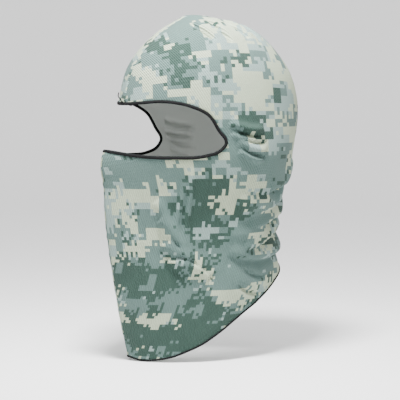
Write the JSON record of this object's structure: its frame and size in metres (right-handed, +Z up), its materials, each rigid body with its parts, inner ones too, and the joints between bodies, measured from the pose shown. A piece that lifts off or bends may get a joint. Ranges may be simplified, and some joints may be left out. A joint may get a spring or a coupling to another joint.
{
  "type": "camouflage balaclava face mask",
  "caption": "Thin stretch-fabric balaclava in grey-green digital camouflage, open at the eyes, with a long front bib and black overlocked seams and edges.",
  "frame": {"origin": "on the symmetry plane, at the inner face of the crown, where the top of the head bears", "axes": "+Z up, the face looks along -Y, the wearer's left is +X"},
  "size_m": [0.161, 0.2252, 0.3586],
  "materials": {
    "camo_fabric": "printed bird-eye mesh knit, matt",
    "black_thread": "overlock thread, slightly hairy"
  },
  "bodies": {
    "root": {"left_side_panel": "camo_fabric", "right_side_panel": "camo_fabric", "crown_seam_overlock": "black_thread", "face_seam_overlock": "black_thread", "eye_opening_edging": "black_thread", "bottom_hem_edging": "black_thread", "forehead_thread_tail": "black_thread"}
  },
  "joints": []
}
